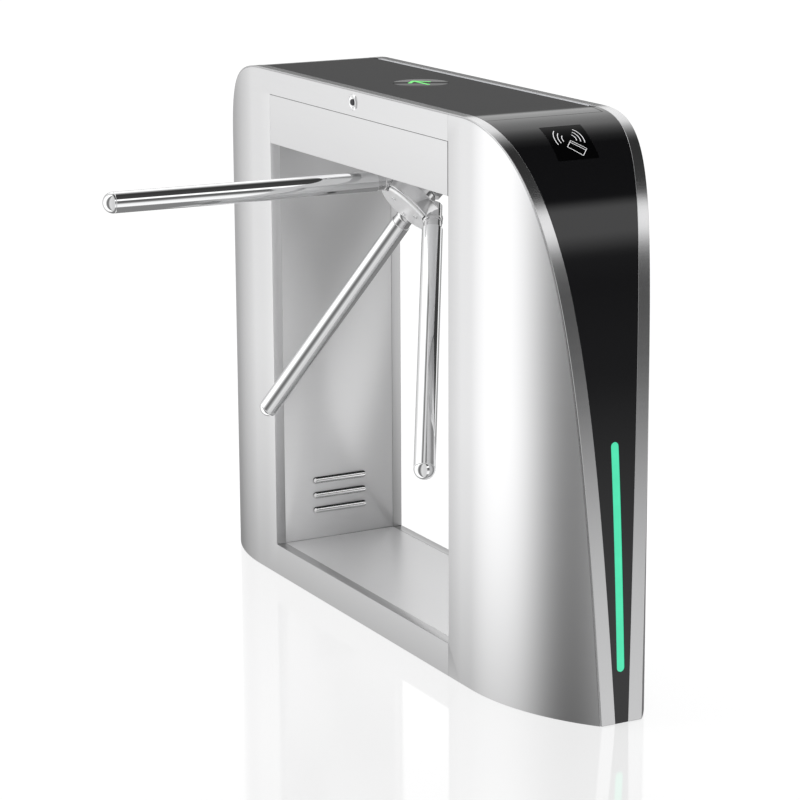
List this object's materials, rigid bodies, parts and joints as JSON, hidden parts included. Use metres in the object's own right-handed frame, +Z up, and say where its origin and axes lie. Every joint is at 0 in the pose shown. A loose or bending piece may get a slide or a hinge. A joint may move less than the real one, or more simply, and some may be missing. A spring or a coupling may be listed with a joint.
{
  "type": "visitor counter turnstile",
  "caption": "Bridge-shaped turnstile with a rotating three-arm hub under its beam, card windows, light strips, hinged lid, lock, index gear, damper and locking pawls.",
  "frame": {"origin": "floor level at the middle of the cabinet's plan", "axes": "+X along the cabinet towards the near end, -Y towards the side the level arm reaches, +Z up"},
  "size_m": [1.4, 0.7508, 1],
  "materials": {
    "satin_steel": "satin brushed stainless sheet",
    "bright_steel": "bright brushed stainless",
    "chrome": "polished",
    "hub_metal": "satin turned",
    "frame_steel": "powder coated",
    "zinc_steel": "zinc plated",
    "black_glass": "high gloss",
    "window": "smoked, high gloss",
    "light": "translucent, lit pale green",
    "board": "printed circuit board",
    "module": "satin",
    "brass": "machined",
    "copper": "lacquered winding and yoke",
    "arrow": "smoked, with a green arrow",
    "black_oxide": "black oxide"
  },
  "bodies": {
    "cabinet": {"base_plate": "zinc_steel", "near_frame": "frame_steel", "far_frame": "frame_steel", "beam_frame": "frame_steel", "front_side_sheet": "satin_steel", "front_end_sheet": "satin_steel", "back_side_sheet": "satin_steel", "back_end_sheet": "satin_steel", "front_cover": "satin_steel", "back_cover": "satin_steel", "near_inner_wall": "satin_steel", "far_inner_wall": "satin_steel", "opening_floor": "satin_steel", "opening_ceiling": "satin_steel", "front_edge_trim": "bright_steel", "back_edge_trim": "bright_steel", "near_end_panel": "black_glass", "far_end_panel": "black_glass", "near_light_strip": "light", "far_light_strip": "light", "led_boards": "board", "near_reader_window": "window", "far_reader_window": "window", "reader_modules": "module", "control_board": "board", "power_supply": "zinc_steel", "cable_duct": "module", "mechanism_plate": "zinc_steel", "bearing_housing": "hub_metal", "front_bearing": "chrome", "rear_bearing": "chrome", "encoder_sensor": "module", "solenoid_coils": "copper", "damper_body": "black_oxide", "centering_spring": "zinc_steel", "hinge_leaf": "zinc_steel", "lock_barrel": "chrome", "frame_bolts": "zinc_steel"},
    "rotor": {"hub_body": "hub_metal", "hub_cap": "hub_metal", "hub_screws": "chrome", "arm_1": "chrome", "arm_2": "chrome", "arm_3": "chrome", "arm_end_caps": "chrome", "main_shaft": "zinc_steel", "shaft_nut": "black_oxide", "lock_wheel": "black_oxide", "index_gear": "zinc_steel", "encoder_disc": "black_oxide"},
    "crank_pinion": {"crank_pinion": "brass"},
    "damper_pinion": {"damper_pinion": "brass"},
    "entry_pawl": {"entry_pawl": "zinc_steel"},
    "exit_pawl": {"exit_pawl": "zinc_steel"},
    "entry_plunger": {"entry_plunger": "zinc_steel"},
    "exit_plunger": {"exit_plunger": "zinc_steel"},
    "lid": {"top_lid": "black_glass", "lid_leaf": "zinc_steel", "arrow_window": "arrow"},
    "lock_plug": {"lock_plug": "zinc_steel"}
  },
  "joints": [
    {"name": "rotor_turn", "type": "hinge", "parent": "cabinet", "child": "rotor", "pos_m": [0, 0.025, 0.829], "axis": [0, -0.7431, -0.6691], "continuous": true},
    {"name": "crank_turn", "type": "hinge", "parent": "cabinet", "child": "crank_pinion", "pos_m": [0.048, 0.10377, 0.89993], "axis": [0, -0.7431, -0.6691], "continuous": true, "deforming": ["centering_spring"]},
    {"name": "damper_turn", "type": "hinge", "parent": "cabinet", "child": "damper_pinion", "pos_m": [0, 0.07165, 0.9356], "axis": [0, -0.7431, -0.6691], "continuous": true},
    {"name": "entry_pawl_turn", "type": "hinge", "parent": "cabinet", "child": "entry_pawl", "pos_m": [0.05641, 0.08293, 0.91037], "axis": [0, -0.7431, -0.6691], "range_deg": [0, 7.5], "stiffness_Nm_per_rad": 0.05},
    {"name": "exit_pawl_turn", "type": "hinge", "parent": "cabinet", "child": "exit_pawl", "pos_m": [-0.05641, 0.08293, 0.91037], "axis": [0, 0.7431, 0.6691], "range_deg": [0, 7.5], "stiffness_Nm_per_rad": 0.05},
    {"name": "entry_plunger_slide", "type": "slide", "parent": "cabinet", "child": "entry_plunger", "axis": [0, -0.6691, 0.7431], "range_m": [0, 0.0028]},
    {"name": "exit_plunger_slide", "type": "slide", "parent": "cabinet", "child": "exit_plunger", "axis": [0, -0.6691, 0.7431], "range_m": [0, 0.0028]},
    {"name": "lid_hinge", "type": "hinge", "parent": "cabinet", "child": "lid", "pos_m": [0, 0.1158, 0.9965], "axis": [-1, 0, 0], "range_deg": [0, 75]},
    {"name": "lock_turn", "type": "hinge", "parent": "cabinet", "child": "lock_plug", "pos_m": [0, -0.14, 0.977], "axis": [0, 1, 0], "range_deg": [0, 90]}
  ],
  "couplings": [
    {"joint": "crank_turn", "follows": "rotor_turn", "ratio": -3},
    {"joint": "damper_turn", "follows": "rotor_turn", "ratio": -3},
    {"joint": "entry_pawl_turn", "follows": "entry_plunger_slide", "rad_per_m": 46.296},
    {"joint": "exit_pawl_turn", "follows": "exit_plunger_slide", "rad_per_m": 46.296}
  ]
}
